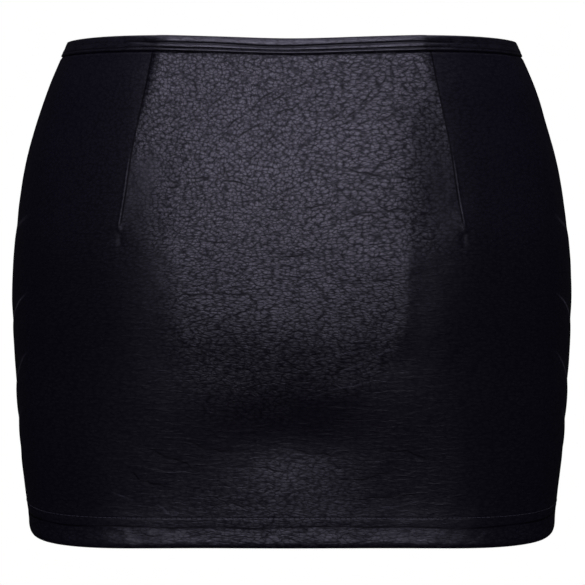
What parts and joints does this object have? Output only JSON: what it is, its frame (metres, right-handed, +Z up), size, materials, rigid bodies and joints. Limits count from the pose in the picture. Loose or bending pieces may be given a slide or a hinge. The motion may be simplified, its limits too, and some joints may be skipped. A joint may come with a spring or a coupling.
{
  "type": "leather mini skirt",
  "caption": "Hollow, filled-out mini skirt in grained black leather with waist darts, a narrow bound waist, a turned-up hem and a concealed back zip.",
  "frame": {"origin": "middle of the waist opening, level with the top edge at the side seams, where the wearer's waist holds the skirt", "axes": "+Z up out of the waist opening, +X to the wearer's left, -Y to the front"},
  "size_m": [0.3586, 0.2398, 0.3159],
  "materials": {
    "leather": "pebble-grained black leather with a blue-violet cast and a soft semi-gloss sheen",
    "binding": "smooth black leather, slightly glossier than the body",
    "zip_tape": "matt black woven tape",
    "zip_metal": "black painted metal"
  },
  "bodies": {
    "skirt": {"front_panel": "leather", "back_panel_left": "leather", "back_panel_right": "leather", "waist_binding": "binding", "zip_tape_left": "zip_tape", "zip_tape_right": "zip_tape", "zip_slider": "zip_metal", "zip_bottom_stop": "zip_metal"},
    "pull_tab": {"zip_pull": "zip_metal"}
  },
  "joints": [
    {"name": "pull_tab_flip", "type": "hinge", "parent": "skirt", "child": "pull_tab", "pos_m": [0, 0.10411, -0.01366], "axis": [1, 0, 0], "range_deg": [0, 150]}
  ]
}
